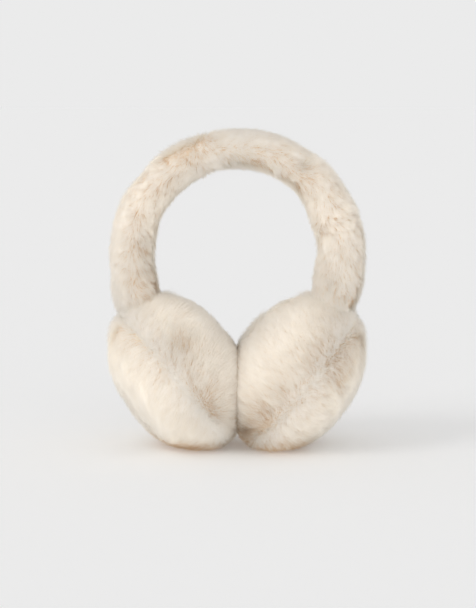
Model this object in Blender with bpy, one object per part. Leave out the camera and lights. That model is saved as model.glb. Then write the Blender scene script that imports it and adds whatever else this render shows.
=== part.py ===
"""Fur earmuffs: a fur sleeve over the headband, and two stuffed fur ear pads, standing on a table.

Each pad is a fat, slightly flattened ball made of two fur covers that meet at a seam, the outer
cover on the street side and the inner cover on the ear side. The band springs the pads together,
so they are pressed flat where they meet and where they rest. Every fur piece is a backing with
its pile in locks, one tapered lock for each cell of the backing, fused to it.

Metres, +Z up. The origin is on the table, midway between the pads. The wearer's ears are at -X
and +X, and -Y is the front.
"""

import math
import random

import bmesh
import bpy
from mathutils import Vector, noise

# Ear pads, measured on the backing that the locks stand on
PAD_RADIUS = 0.0570  # of the round rim, where the two covers are sewn together
OUTER_RISE = 0.0350  # of the outer cover above the seam
INNER_RISE = 0.0480  # of the inner cover above the seam
OUTER_FULLNESS = 2.0  # the exponent of a cover's profile: 2 is an ellipse, more is squarer
INNER_FULLNESS = 2.6
PAD_TILT = math.radians(39)  # of the seam's plane from upright, tops apart
LEFT_TWIST = math.radians(9)  # of the left pad, which turns its outer cover to the front
FLOOR_PRESS = 0.0016  # how far the table flattens a pad
MIDDLE_PRESS = 0.0110  # how far the pads flatten each other
FURROW_DEPTH = 0.0018  # of the parting that the seam pulls into the fur
FURROW_SHARE = 0.12  # half its width, as a share of the pad's rise
PAD_CELLS = 12  # along each side of the six-sided ball, even, so that a row of edges is the seam

# Headband, along its middle line
ARCH_HALF_WIDTH = 0.0730
ARCH_RISE = 0.0725  # of the crown above the arms
ARM_LENGTH = 0.0345  # from the pad's seat to where the arch starts
BAND_THICKNESS = 0.0250  # at the crown, seen from the front
BAND_DEPTH = 0.0310  # at the crown, front to back
SEAT_ANGLE = math.radians(20)  # of the arm's seat on the pad, from the rim towards the ear side
SEAT_SINK = 0.012  # how far the sleeve is made past its seat before the pad trims it
ARM_STEPS = 6
ARCH_STEPS = 36
SLEEVE_RESOLUTION = 6  # of the round section

# How the sleeve's thickness and depth change along it, as shares of the sizes at the crown
SLEEVE_SECTIONS = (
    # along, thickness, depth
    (0.00, 1.08, 1.00),
    (0.09, 1.16, 1.10),
    (0.20, 1.16, 1.10),
    (0.34, 1.02, 1.04),
    (0.50, 1.00, 1.00),
    (0.64, 1.04, 1.04),
    (0.78, 1.24, 1.12),
    (0.90, 1.30, 1.14),
    (1.00, 1.10, 1.02),
)

# Soft dents: where they are in the pad's own axes, as a direction from its middle, how deep they
# are as a share of the pad's radius, and how far they spread as an angle in radians
PAD_DENTS = (
    # side, up, front, out, depth, spread
    (-1, 0.46, 0.79, -0.40, 0.065, 0.30),
    (-1, -0.35, 0.86, 0.34, 0.030, 0.22),
    (1, 0.42, 0.86, 0.26, 0.040, 0.24),
    (1, -0.50, 0.84, -0.10, 0.025, 0.24),
)

# Fur
PAD_LOCK = 0.0036  # height of a lock's tip above the backing
BAND_LOCK = 0.0030
REACH = 0.78  # how far a tip lies beyond the middle of its cell, as a share of the cell's side
DRIFT = 0.45  # how far locks stray from the pile's direction
DRIFT_SIZE = 0.022  # of the whorls that they stray in
FADE = 0.010  # from no lock to a full one, beside a seat or where the fur is pressed
PRESSED_SHARE = 0.3  # of a lock's height that is left where the fur is pressed
HEIGHT_SPREAD = (0.75, 1.25)  # least and most of a lock's height, as shares
REACH_SPREAD = (0.80, 1.10)
BAND_SEED = 5
PAD_SEED = 6
CREAM = (0.85, 0.78, 0.68, 1.0)
ROUGHNESS = 0.9

# Fits
GAP = 0.0003  # between pieces that touch
WELD = 0.00001
SHARP_ANGLE = math.radians(40)


def clear_scene():
    for obj in list(bpy.data.objects):
        bpy.data.objects.remove(obj)


def new_collection(name):
    made = bpy.data.collections.new(name)
    bpy.context.scene.collection.children.link(made)
    return made


def fur_material(name):
    material = bpy.data.materials.new(name)
    material.use_nodes = True
    shader = material.node_tree.nodes["Principled BSDF"]
    shader.inputs["Base Color"].default_value = CREAM
    shader.inputs["Roughness"].default_value = ROUGHNESS
    shader.inputs["Metallic"].default_value = 0.0
    return material


def smooth_step(share):
    share = min(1.0, max(0.0, share))
    return share * share * (3 - 2 * share)


# The pad's own axes: up along the plane of the seam, to the front, and outwards across the seam
PAD_UP = Vector((math.sin(PAD_TILT), 0, math.cos(PAD_TILT)))
PAD_FRONT = Vector((0, -1, 0))
PAD_OUT = Vector((math.cos(PAD_TILT), 0, -math.sin(PAD_TILT)))


def front_and_out(side):
    """The last two axes of the right pad, or of the left one's mirror, which is twisted."""
    twist = LEFT_TWIST if side < 0 else 0.0
    front = PAD_FRONT * math.cos(twist) - PAD_OUT * math.sin(twist)
    out = PAD_OUT * math.cos(twist) + PAD_FRONT * math.sin(twist)
    return front, out


def power_length(a, b, power):
    return (abs(a) ** power + abs(b) ** power) ** (1 / power)


def ball_point(direction, side=0):
    """The backing's point in this direction from the middle of the seam, before it is pressed."""
    outer = direction.z > 0
    fullness = OUTER_FULLNESS if outer else INNER_FULLNESS
    from_axis = math.hypot(direction.x, direction.y)
    full = direction / power_length(from_axis, direction.z, fullness)
    furrow = math.exp(-((full.z / FURROW_SHARE) ** 2)) * FURROW_DEPTH / PAD_RADIUS
    dented = 0.0
    for dent_side, up, front, out, depth, spread in PAD_DENTS:
        if dent_side == side:
            angle = direction.angle(Vector((up, front, out)))
            dented += depth * math.exp(-((angle / spread) ** 2))
    full *= 1 - furrow - dented
    rise = OUTER_RISE if outer else INNER_RISE
    pad_front, pad_out = front_and_out(side)
    return (
        PAD_UP * (full.x * PAD_RADIUS)
        + pad_front * (full.y * PAD_RADIUS)
        + pad_out * (full.z * rise)
    )


def reach_along(axis, rise, fullness):
    """How far a cover of this rise and fullness reaches along a world axis, 0 or 2, unpressed."""
    return power_length(
        PAD_RADIUS * PAD_UP[axis], rise * PAD_OUT[axis], fullness / (fullness - 1)
    )


PAD_CENTRE = Vector(
    (
        reach_along(0, INNER_RISE, INNER_FULLNESS) - MIDDLE_PRESS,
        0,
        reach_along(2, OUTER_RISE, OUTER_FULLNESS) - FLOOR_PRESS,
    )
)
SEAT = PAD_CENTRE + ball_point(Vector((math.cos(SEAT_ANGLE), 0, -math.sin(SEAT_ANGLE))))
INTO_PAD = (PAD_CENTRE - SEAT).normalized()
ARCH_BASE = SEAT.z + ARM_LENGTH


def pressed(point):
    """The point where the table and the other pad leave it."""
    return Vector((max(point.x, GAP / 2), point.y, max(point.z, 0.0)))


def room_to_stand(point):
    """0 for fur that is pressed against the table or the other pad, up to 1 where it is free."""
    return smooth_step(min(point.x, point.z) / FADE)


def ball_mesh():
    """A ball of even, four-sided cells, with a row of edges around its middle."""
    bm = bmesh.new()
    bmesh.ops.create_cube(bm, size=2.0)
    bmesh.ops.subdivide_edges(bm, edges=bm.edges[:], cuts=PAD_CELLS - 1, use_grid_fill=True)
    for vert in bm.verts:
        vert.co = Vector([math.tan(c * math.pi / 4) for c in vert.co]).normalized()
    return bm


def pad_backing(side=0, grow=0.0):
    """The right pad's whole backing, or the left one's mirror, grown outwards by that much."""
    bm = ball_mesh()
    for vert in bm.verts:
        vert.co = PAD_CENTRE + ball_point(vert.co, side)
    bm.normal_update()
    moved = [vert.co + vert.normal * grow for vert in bm.verts]
    for vert, co in zip(bm.verts, moved):
        vert.co = co
    return bm


def arm_point(share):
    """The arm's middle line from its seat, at 0, to the arch, at 1: a cubic that ends upright."""
    start, end = SEAT, Vector((ARCH_HALF_WIDTH, 0, ARCH_BASE))
    first = start - INTO_PAD * ARM_LENGTH / 3
    second = end - Vector((0, 0, ARM_LENGTH / 3))
    rest = 1 - share
    return (
        start * rest**3
        + first * 3 * rest * rest * share
        + second * 3 * rest * share * share
        + end * share**3
    )


def half_line():
    """Points of the band's middle line from below the right seat to the crown."""
    points = [SEAT + INTO_PAD * SEAT_SINK, SEAT + INTO_PAD * SEAT_SINK / 2]
    points += [arm_point(i / ARM_STEPS) for i in range(ARM_STEPS)]
    for i in range(ARCH_STEPS // 2 + 1):
        angle = math.pi * i / ARCH_STEPS
        across = ARCH_HALF_WIDTH * math.cos(angle)
        points.append(Vector((across, 0, ARCH_BASE + ARCH_RISE * math.sin(angle))))
    return points


RIGHT_LINE = half_line()
BAND_LINE = [Vector((-p.x, p.y, p.z)) for p in RIGHT_LINE[:-1]] + RIGHT_LINE[::-1]


def shares_along(points):
    reached = [0.0]
    for a, b in zip(points, points[1:]):
        reached.append(reached[-1] + (b - a).length)
    return [r / reached[-1] for r in reached]


def section_at(share):
    """(thickness, depth) of the sleeve at a share of its length, eased between the table's rows."""
    for (a, *before), (b, *after) in zip(SLEEVE_SECTIONS, SLEEVE_SECTIONS[1:]):
        if share <= b:
            t = smooth_step((share - a) / (b - a))
            thick, deep = (x + (y - x) * t for x, y in zip(before, after))
            return BAND_THICKNESS * thick, BAND_DEPTH * deep
    return BAND_THICKNESS * SLEEVE_SECTIONS[-1][1], BAND_DEPTH * SLEEVE_SECTIONS[-1][2]


def nearest_on_band(point):
    """The index of the middle line's point that is nearest in the front view."""
    flat = Vector((point.x, 0, point.z))
    return min(range(len(BAND_LINE)), key=lambda i: (BAND_LINE[i] - flat).length_squared)


def distance_to_arm(point):
    """From a point at +X to the middle line of the right arm."""
    best = math.inf
    for a, b in zip(RIGHT_LINE, RIGHT_LINE[1:]):
        along = b - a
        t = min(1.0, max(0.0, (point - a).dot(along) / along.length_squared))
        best = min(best, (point - a - along * t).length)
    return best


def raise_locks(bm, faces, height_at, pile_at, rng):
    """Turns each face into a lock: its middle becomes a tip, raised, and moved with the pile.

    A tip may lie beyond its own cell, over the low start of the next lock.
    """
    tips = bmesh.ops.poke(bm, faces=faces)["verts"]
    bm.normal_update()
    moved = []
    for tip in tips:
        out = tip.normal.copy()
        side = math.sqrt(sum(face.calc_area() for face in tip.link_faces))
        height = height_at(tip.co) * rng.uniform(*HEIGHT_SPREAD)
        pile = pile_at(tip.co) + noise.noise_vector(tip.co / DRIFT_SIZE) * DRIFT
        pile -= out * pile.dot(out)
        reach = REACH * side * min(1.0, height / BAND_LOCK) * rng.uniform(*REACH_SPREAD)
        moved.append((tip, tip.co + out * height + pile.normalized() * reach))
    for tip, co in moved:
        tip.co = co


def furred_pad(side):
    """The right pad, or the left one's mirror, with its locks, before it is divided at the seam."""
    bm = pad_backing(side)
    end_radius = BAND_DEPTH * SLEEVE_SECTIONS[-1][2] / 2 + BAND_LOCK
    outwards = front_and_out(side)[1]

    def height_at(point):
        clear_of_arm = smooth_step((distance_to_arm(point) - end_radius) / FADE)
        free = PRESSED_SHARE + (1 - PRESSED_SHARE) * room_to_stand(point)
        return PAD_LOCK * clear_of_arm * free

    def pile_at(point):
        return outwards if (point - PAD_CENTRE).dot(outwards) > 0 else -outwards

    raise_locks(bm, bm.faces[:], height_at, pile_at, random.Random(PAD_SEED + side))
    for vert in bm.verts:
        vert.co = pressed(vert.co)
    return bm


def keep_cover(bm, side, outer):
    """Cuts the pad at the seam and keeps one of its covers, closed across the seam."""
    out = front_and_out(side)[1]
    facing = out if outer else -out
    cut = bmesh.ops.bisect_plane(
        bm,
        geom=bm.verts[:] + bm.edges[:] + bm.faces[:],
        plane_co=PAD_CENTRE + facing * GAP / 2,
        plane_no=facing,
        clear_inner=True,
    )
    rim = [e for e in cut["geom_cut"] if isinstance(e, bmesh.types.BMEdge)]
    bmesh.ops.holes_fill(bm, edges=rim)


def mirror(bm):
    bmesh.ops.scale(bm, vec=Vector((-1, 1, 1)), verts=bm.verts[:])
    bmesh.ops.reverse_faces(bm, faces=bm.faces[:])


def object_from(bm, name, collection, material=None):
    bmesh.ops.triangulate(bm, faces=bm.faces[:])
    mesh = bpy.data.meshes.new(name)
    bm.to_mesh(mesh)
    bm.free()
    mesh.shade_smooth()
    mesh.set_sharp_from_angle(angle=SHARP_ANGLE)
    if material:
        mesh.materials.append(material)
    obj = bpy.data.objects.new(name, mesh)
    collection.objects.link(obj)
    return obj


def make_pad(side, side_name, collection, outer_fur, inner_fur):
    for cover, outer, fur in (("outer", True, outer_fur), ("inner", False, inner_fur)):
        bm = furred_pad(side)
        keep_cover(bm, side, outer)
        if side < 0:
            mirror(bm)
        object_from(bm, f"{side_name}_pad_{cover}_cover", collection, fur)


def sleeve_curve():
    """The band's middle line as a round curve, as thick as the sleeve is at each point."""
    curve = bpy.data.curves.new("sleeve_line", "CURVE")
    curve.dimensions = "3D"
    curve.bevel_depth = 1.0
    curve.bevel_resolution = SLEEVE_RESOLUTION
    curve.use_fill_caps = True
    spline = curve.splines.new("POLY")
    spline.points.add(len(BAND_LINE) - 1)
    for point, share, target in zip(BAND_LINE, shares_along(BAND_LINE), spline.points):
        target.co = (*point, 1.0)
        target.radius = section_at(share)[0] / 2
    return bpy.data.objects.new("sleeve_line", curve)


def sleeve_backing(collection):
    line = sleeve_curve()
    collection.objects.link(line)
    bpy.context.view_layer.update()
    graph = bpy.context.evaluated_depsgraph_get()
    mesh = bpy.data.meshes.new_from_object(line.evaluated_get(graph))
    bpy.data.objects.remove(line)
    bm = bmesh.new()
    bm.from_mesh(mesh)
    bpy.data.meshes.remove(mesh)
    bmesh.ops.remove_doubles(bm, verts=bm.verts[:], dist=WELD)
    shares = shares_along(BAND_LINE)
    for vert in bm.verts:
        thick, deep = section_at(shares[nearest_on_band(vert.co)])
        vert.co.y *= deep / thick
    bmesh.ops.recalc_face_normals(bm, faces=bm.faces[:])
    return bm


def make_sleeve(collection, cutters, material):
    bm = sleeve_backing(collection)
    sides = [face for face in bm.faces if len(face.verts) == 4]

    def height_at(point):
        above_seat = BAND_LINE[nearest_on_band(point)].z - SEAT.z
        return BAND_LOCK * smooth_step(above_seat / FADE)

    def pile_at(point):
        i = min(max(nearest_on_band(point), 1), len(BAND_LINE) - 2)
        along = (BAND_LINE[i + 1] - BAND_LINE[i - 1]).normalized()
        return along if point.x > 0 else -along

    raise_locks(bm, sides, height_at, pile_at, random.Random(BAND_SEED))
    sleeve = object_from(bm, "band_sleeve", collection, material)
    for side in (1, -1):
        cutter = pad_backing(side, grow=GAP)
        if side < 0:
            mirror(cutter)
        trim = object_from(cutter, "pad_trim", cutters)
        trim.hide_render = True
        trim.display_type = "WIRE"
        cut = sleeve.modifiers.new("seat", "BOOLEAN")
        cut.operation = "DIFFERENCE"
        cut.object = trim


def main():
    clear_scene()
    parts = new_collection("fur_earmuffs")
    cutters = new_collection("cutters")
    make_sleeve(parts, cutters, fur_material("band_fur"))
    outer_fur = fur_material("outer_cover_fur")
    inner_fur = fur_material("inner_cover_fur")
    make_pad(1, "right", parts, outer_fur, inner_fur)
    make_pad(-1, "left", parts, outer_fur, inner_fur)


main()
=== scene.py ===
# %% [markdown]
# # Plush earmuffs in faux fur
#
# The object is a pair of round ear pads on a curved headband, all of it covered in cream faux fur.
# This lesson builds what the eye sees: the fur. Each piece of fur is made the way the real fabric
# is, from a soft backing and a pile of fibres that stands on it, lies over in one direction, and
# gathers into tufts. The CAD model gives the place and the size of every piece.

# %% Load the CAD frame
import math

import bpy
import numpy as np
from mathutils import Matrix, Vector


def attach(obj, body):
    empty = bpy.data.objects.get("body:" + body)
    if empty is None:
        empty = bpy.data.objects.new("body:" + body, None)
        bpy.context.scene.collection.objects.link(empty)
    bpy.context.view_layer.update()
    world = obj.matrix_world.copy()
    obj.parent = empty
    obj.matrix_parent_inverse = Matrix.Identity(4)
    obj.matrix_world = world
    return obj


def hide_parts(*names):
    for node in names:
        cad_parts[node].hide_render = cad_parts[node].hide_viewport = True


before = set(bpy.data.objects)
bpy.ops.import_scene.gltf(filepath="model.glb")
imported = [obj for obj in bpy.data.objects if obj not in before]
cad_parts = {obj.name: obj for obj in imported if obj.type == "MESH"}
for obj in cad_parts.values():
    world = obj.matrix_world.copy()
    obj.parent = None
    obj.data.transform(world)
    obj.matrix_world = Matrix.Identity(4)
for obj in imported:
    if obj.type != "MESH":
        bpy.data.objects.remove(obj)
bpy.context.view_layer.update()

MM = 0.001
ROOT = "root"

print("CAD nodes:", ", ".join(sorted(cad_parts)))

# %% [markdown]
# ## Vectors as whole arrays
#
# Everything below works on whole arrays of points at once, so a few small helpers come first: one
# gives vectors a length of one, one takes out the part of a vector that points off a surface, and
# one is a smooth step between two values.


# %% Vector helpers
def unit(vectors):
    """Each vector divided by its own length."""
    return vectors / np.maximum(np.linalg.norm(vectors, axis=-1, keepdims=True), 1e-12)


def dot(a, b):
    """The sum of the products of the three coordinates, kept as a column."""
    return (a * b).sum(axis=-1, keepdims=True)


def along_surface(vectors, normals):
    """The vector less its share along the normal, so that it lies in the surface."""
    return vectors - normals * dot(vectors, normals)


def ease(values, low, high):
    """0 below low, 1 above high, and 3t^2 - 2t^3 between them."""
    t = np.clip((values - low) / (high - low), 0.0, 1.0)
    return t * t * (3 - 2 * t)


print("a quarter of the way eases to", ease(np.array(0.25), 0, 1))

# %% [markdown]
# ## Where the fur strays
#
# Real pile never lies in one exact direction: it swirls where hands and packing have brushed it.
# A sum of sine waves in random directions gives such a field. It costs little, has no grid in it,
# and a seed makes it the same on every run.


# %% A smooth random field
WAVE_SPREAD = (0.6, 1.5)


def waves(points, size, seed, count=10):
    """Three smooth numbers for each point: sums of sines of (wave vector . point + phase).

    The wave vectors point anywhere and are 2 pi / size long, times a number in WAVE_SPREAD.
    """
    rng = np.random.default_rng(seed)
    directions = unit(rng.normal(size=(3, count, 3)))
    lengths = rng.uniform(*WAVE_SPREAD, size=(3, count, 1)) * 2 * math.pi / size
    phases = rng.uniform(0, 2 * math.pi, size=(3, count))
    angles = np.einsum("nk,cwk->ncw", points, directions * lengths) + phases
    return np.sin(angles).sum(axis=-1) * math.sqrt(2 / count)


def swirls(points, wide, fine, seed):
    """A wide field of waves plus a fine one, each of which is given as (size, strength)."""
    return waves(points, wide[0], seed + 10) * wide[1] + waves(points, fine[0], seed) * fine[1]


print("the field at the origin:", np.round(waves(np.zeros((1, 3)), 40 * MM, seed=1)[0], 2))

# %% [markdown]
# Fibres also cling together in small tufts. Space is cut into cells with one tuft centre at a
# random place in each, and a fibre belongs to the nearest centre. That is the pattern that Blender
# calls Voronoi, worked out here for all the fibres of a piece at once.


# %% Tuft centres
PRIMES = np.array([73856093, 19349663, 83492791])
SEED_MIXER = 2654435761
STEP_MIXER = 374761393
LAST_MIXER = 1274126177
LOW_31_BITS = 0x7FFFFFFF
LOW_16_BITS = 0xFFFF


def scrambled(cells, seed):
    """Three numbers from 0 to 1 for each cell of whole numbers, from a mix of its coordinates.

    Multiplying by large odd numbers, then folding the high bits onto the low ones, stirs them.
    """
    key = (cells.astype(np.int64) * PRIMES).sum(axis=-1) ^ (seed * SEED_MIXER)
    out = []
    for step in range(3):
        mixed = (key + step * STEP_MIXER) & LOW_31_BITS
        mixed = (mixed ^ (mixed >> 13)) * LAST_MIXER & LOW_31_BITS
        mixed = mixed ^ (mixed >> 16)
        out.append((mixed & LOW_16_BITS) / LOW_16_BITS)
    return np.stack(out, axis=-1)


def tuft_centres(points, spacing, seed):
    """The nearest tuft centre to each point, and three numbers that all its fibres share."""
    home = np.floor(points / spacing)
    best = np.full(len(points), np.inf)
    centre = np.zeros_like(points)
    shared = np.zeros_like(points)
    for x in (-1, 0, 1):
        for y in (-1, 0, 1):
            for z in (-1, 0, 1):
                cell = home + np.array([x, y, z])
                there = (cell + scrambled(cell, seed)) * spacing
                far = ((there - points) ** 2).sum(axis=-1)
                nearer = far < best
                best = np.where(nearer, far, best)
                centre[nearer] = there[nearer]
                shared[nearer] = scrambled(cell[nearer], seed + 1)
    return centre, shared


nearest = tuft_centres(np.zeros((1, 3)), 3 * MM, seed=1)[0]
print("of tufts 3 mm apart, the nearest to the origin is at", np.round(nearest / MM, 1), "mm")

# %% [markdown]
# ## The form of a pad
#
# A pad is a stuffed ball made of two fur covers sewn together at a seam. Seen in its own axes, up
# along the seam, to the front and out across the seam, it is turned: round about the third axis,
# with a profile that is a rounded curve. The outer cover is flatter than the inner one, and the
# left pad is twisted a little, so that more of its outer cover shows in front. The table and the
# other pad then press it flat. These are the CAD model's own sizes. The CAD model's surface is that
# of the whole fur, so the backing that the fibres stand on lies deeper, by the height of the pile.

# %% Sizes of a pad
PAD_RADIUS = 57.0 * MM
OUTER_RISE = 35.0 * MM
INNER_RISE = 48.0 * MM
OUTER_FULLNESS = 2.0
INNER_FULLNESS = 2.6
PAD_TILT = math.radians(39)
LEFT_TWIST = math.radians(9)
FLOOR_PRESS = 1.6 * MM
MIDDLE_PRESS = 11.0 * MM
PRESS_SOFTNESS = 1.0 * MM
GAP = 0.3 * MM
PAD_RECESS = 3.4 * MM

PAD_UP = np.array([math.sin(PAD_TILT), 0.0, math.cos(PAD_TILT)])
PAD_FRONT = np.array([0.0, -1.0, 0.0])
PAD_OUT = np.array([math.cos(PAD_TILT), 0.0, -math.sin(PAD_TILT)])
TWISTED_FRONT = PAD_FRONT * math.cos(LEFT_TWIST) - PAD_OUT * math.sin(LEFT_TWIST)
TWISTED_OUT = PAD_OUT * math.cos(LEFT_TWIST) + PAD_FRONT * math.sin(LEFT_TWIST)
PAD_AXES = {
    1: np.stack([PAD_UP, PAD_FRONT, PAD_OUT]),
    -1: np.stack([PAD_UP, TWISTED_FRONT, TWISTED_OUT]),
}
MIRROR = np.array([-1.0, 1.0, 1.0])
DOWN = np.array([0.0, 0.0, -1.0])
BACKWARDS = np.array([0.0, 1.0, 0.0])


def power_length(a, b, power):
    """The power-th root of the sum of both sizes to that power."""
    return (np.abs(a) ** power + np.abs(b) ** power) ** (1 / power)


def reach_along(axis, rise, fullness):
    """How far a cover of this rise reaches along a world axis before it is pressed."""
    q = fullness / (fullness - 1)
    return power_length(PAD_RADIUS * PAD_UP[axis], rise * PAD_OUT[axis], q)


PAD_CENTRE = np.array(
    [
        reach_along(0, INNER_RISE, INNER_FULLNESS) - MIDDLE_PRESS,
        0.0,
        reach_along(2, OUTER_RISE, OUTER_FULLNESS) - FLOOR_PRESS,
    ]
)
print("middle of the right pad, mm:", np.round(PAD_CENTRE / MM, 1))

# %% [markdown]
# The surface is a function of two parameters: a direction from the middle, given as an angle from
# the outward axis and an angle round it. Dents take a share off the distance. A press is a soft
# limit: points past a plane come to lie on it.

# %% The surface of a pad
SEAM_RECESS = 0.15
SEAM_REACH = 9.0 * MM
SEAM_POLAR = math.pi / 2
FULL_TURN = (0.0, 2 * math.pi)

# Soft dents in the fur, as a direction in the pad's axes, a depth as a share of the distance from
# the middle, and a spread as an angle. A depth below 0 is a bulge: the stuffing sinks a little.
SUNK_STUFFING = ((-0.40, 0.0, 0.92, -0.050, 0.55), (0.85, 0.0, 0.50, 0.030, 0.45))
DENTS = {
    -1: (
        # up, front, out, depth, spread
        (0.28, 0.87, -0.34, 0.055, 0.28),
        (-0.35, 0.86, 0.34, 0.010, 0.22),
    ),
    1: (
        (0.42, 0.86, 0.26, 0.030, 0.30),
        (-0.50, 0.84, -0.10, 0.014, 0.24),
    ),
}


def pad_direction(polar, around):
    """(sin polar cos around, sin polar sin around, cos polar): up, front and out."""
    across = np.sin(polar)
    return np.stack([across * np.cos(around), across * np.sin(around), np.cos(polar)], axis=-1)


def dent_share(direction, dents):
    """The share that dents take off the distance: the sum of depth * exp(-(angle / spread)^2)."""
    share = np.zeros(direction.shape[:-1])
    for up, front, out, depth, spread in dents:
        towards = unit(np.array([up, front, out]))
        angle = np.arccos(np.clip((direction * towards).sum(axis=-1), -1, 1))
        share = share + depth * np.exp(-((angle / spread) ** 2))
    return share


def pad_point(polar, around, side, grow=-PAD_RECESS):
    """A point of the right pad, or of the left one's mirror, still on the right.

    The direction in the pad's axes is divided by the power length of its height and its
    distance from the axis, less the dents, then stretched to the radius and to the cover's
    rise. Beside the seam, where the pile is short, the surface lies less deep.
    """
    d = pad_direction(polar, around)
    outer = d[..., 2] > 0
    fullness = np.where(outer, OUTER_FULLNESS, INNER_FULLNESS)
    full = d / power_length(np.sin(polar), d[..., 2], fullness)[..., None]
    full = full * (1 - dent_share(d, DENTS[side] + SUNK_STUFFING))[..., None]
    rise = np.where(outer, OUTER_RISE, INNER_RISE)
    scale = np.stack([np.full_like(rise, PAD_RADIUS), np.full_like(rise, PAD_RADIUS), rise], -1)
    from_seam = ease(np.abs(full[..., 2]) * rise, 0, SEAM_REACH)
    depth = grow * (SEAM_RECESS + (1 - SEAM_RECESS) * from_seam)
    return PAD_CENTRE + (full * (scale + depth[..., None])) @ PAD_AXES[side]


def press(points, softness=PRESS_SOFTNESS):
    """Points of the right pad where the table and the other pad leave them: a soft maximum."""
    out = points.copy()
    for axis, least in ((0, GAP / 2), (2, 0.0)):
        past = out[..., axis] - least
        out[..., axis] = least + softness * np.logaddexp(0, past / softness)
    return out


seam_top = press(pad_point(np.array(SEAM_POLAR), np.array(0.0), side=1))
print("top of the right pad's seam, mm:", np.round(seam_top / MM, 1))

# %% [markdown]
# ## The form of the headband's sleeve
#
# The sleeve is a tube of fur pulled over a springy band. A tube is a profile carried along a path:
# here an oval, carried along the arms and the arch. Two numbers place a point on it, how far along
# it is and which way round.

# %% Sizes of the sleeve
ARCH_HALF_WIDTH = 73.0 * MM
ARCH_RISE = 72.5 * MM
ARM_LENGTH = 34.5 * MM
BAND_THICKNESS = 25.0 * MM
BAND_DEPTH = 31.0 * MM
SEAT_ANGLE = math.radians(20)
SEAT_SINK = 12.0 * MM
SLEEVE_RECESS = 2.6 * MM
SUNK_POINTS = 12
ARM_POINTS = 40
ARCH_POINTS = 120
LINE_POINTS = 241

SLEEVE_SECTIONS = np.array(
    [
        # along, thickness, depth
        (0.00, 1.08, 1.00),
        (0.09, 1.16, 1.10),
        (0.20, 1.16, 1.10),
        (0.34, 1.02, 1.04),
        (0.50, 1.00, 1.00),
        (0.64, 1.04, 1.04),
        (0.78, 1.24, 1.12),
        (0.90, 1.30, 1.14),
        (1.00, 1.10, 1.02),
    ]
)

SEAT = pad_point(np.array(SEAM_POLAR + SEAT_ANGLE), np.array(0.0), 1, grow=0.0)
INTO_PAD = unit(PAD_CENTRE - SEAT)
ARCH_BASE = SEAT[2] + ARM_LENGTH


def sleeve_line():
    """Even points of the sleeve's middle line, from the left pad over the crown to the right.

    Below each seat it runs straight, the arm is a cubic that ends upright, and the arch is half
    an ellipse.
    """
    sunk = SEAT + INTO_PAD * np.linspace(SEAT_SINK, 0, SUNK_POINTS, endpoint=False)[:, None]
    end = np.array([ARCH_HALF_WIDTH, 0, ARCH_BASE])
    first = SEAT - INTO_PAD * ARM_LENGTH / 3
    second = end - np.array([0, 0, ARM_LENGTH / 3])
    t = np.linspace(0, 1, ARM_POINTS, endpoint=False)[:, None]
    r = 1 - t
    arm = SEAT * r**3 + first * 3 * r * r * t + second * 3 * r * t * t + end * t**3
    a = np.linspace(0, math.pi / 2, ARCH_POINTS)[:, None]
    across = ARCH_HALF_WIDTH * np.cos(a)
    arch = np.concatenate([across, 0 * a, ARCH_BASE + ARCH_RISE * np.sin(a)], axis=1)
    right = np.concatenate([sunk, arm, arch])
    line = np.concatenate([right * MIRROR, right[-2::-1]])
    reached = np.concatenate([[0], np.linalg.norm(np.diff(line, axis=0), axis=1).cumsum()])
    even = np.linspace(0, reached[-1], LINE_POINTS)
    return np.stack([np.interp(even, reached, line[:, k]) for k in range(3)], axis=-1)


LINE = sleeve_line()
LINE_LENGTH = np.linalg.norm(np.diff(LINE, axis=0), axis=1).sum()
LINE_TANGENT = unit(np.gradient(LINE, axis=0))
print("length of the sleeve's middle line, mm:", round(LINE_LENGTH / MM))

# %% The surface of the sleeve
LUMP_HEIGHT = 0.35 * MM
LUMP_SIZE = 34.0 * MM
LUMP_SEED = 4

# Folds and gaps in the sleeve's fur: where along it and which way round, how deep, and how far
# they spread along it and round it
FOLDS = (
    # along, around, depth, spread along, spread around
    (0.640, -1.30, 2.4 * MM, 0.015, 0.45),
    (0.405, -1.20, 0.6 * MM, 0.018, 0.60),
    (0.460, -1.00, 0.5 * MM, 0.016, 0.70),
    (0.915, -1.95, 1.2 * MM, 0.030, 0.30),
    (0.180, -2.20, 0.8 * MM, 0.024, 0.50),
)


def eased_section(along):
    """(thickness, depth) in metres at a share of the length, eased between the table's rows."""
    rows = np.clip(np.searchsorted(SLEEVE_SECTIONS[:, 0], along) - 1, 0, len(SLEEVE_SECTIONS) - 2)
    low, high = SLEEVE_SECTIONS[rows], SLEEVE_SECTIONS[rows + 1]
    t = ease(along, low[..., 0], high[..., 0])
    thick = low[..., 1] + (high[..., 1] - low[..., 1]) * t
    deep = low[..., 2] + (high[..., 2] - low[..., 2]) * t
    return thick * BAND_THICKNESS, deep * BAND_DEPTH


def fold_depth(along, around):
    """How deep the folds are here: depth * exp(-(off along / long)^2 - (off round / wide)^2)."""
    sunk = np.zeros_like(along)
    for place, turn, depth, long, wide in FOLDS:
        round_off = np.angle(np.exp(1j * (around - turn)))
        sunk = sunk + depth * np.exp(-(((along - place) / long) ** 2) - (round_off / wide) ** 2)
    return sunk


def along_line(values, share):
    """The values that belong to the middle line's points, read at a share of its length."""
    at = np.clip(share, 0, 1) * (len(LINE) - 1)
    index = np.arange(len(LINE))
    return np.stack([np.interp(at, index, values[:, k]) for k in range(3)], axis=-1)


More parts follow.
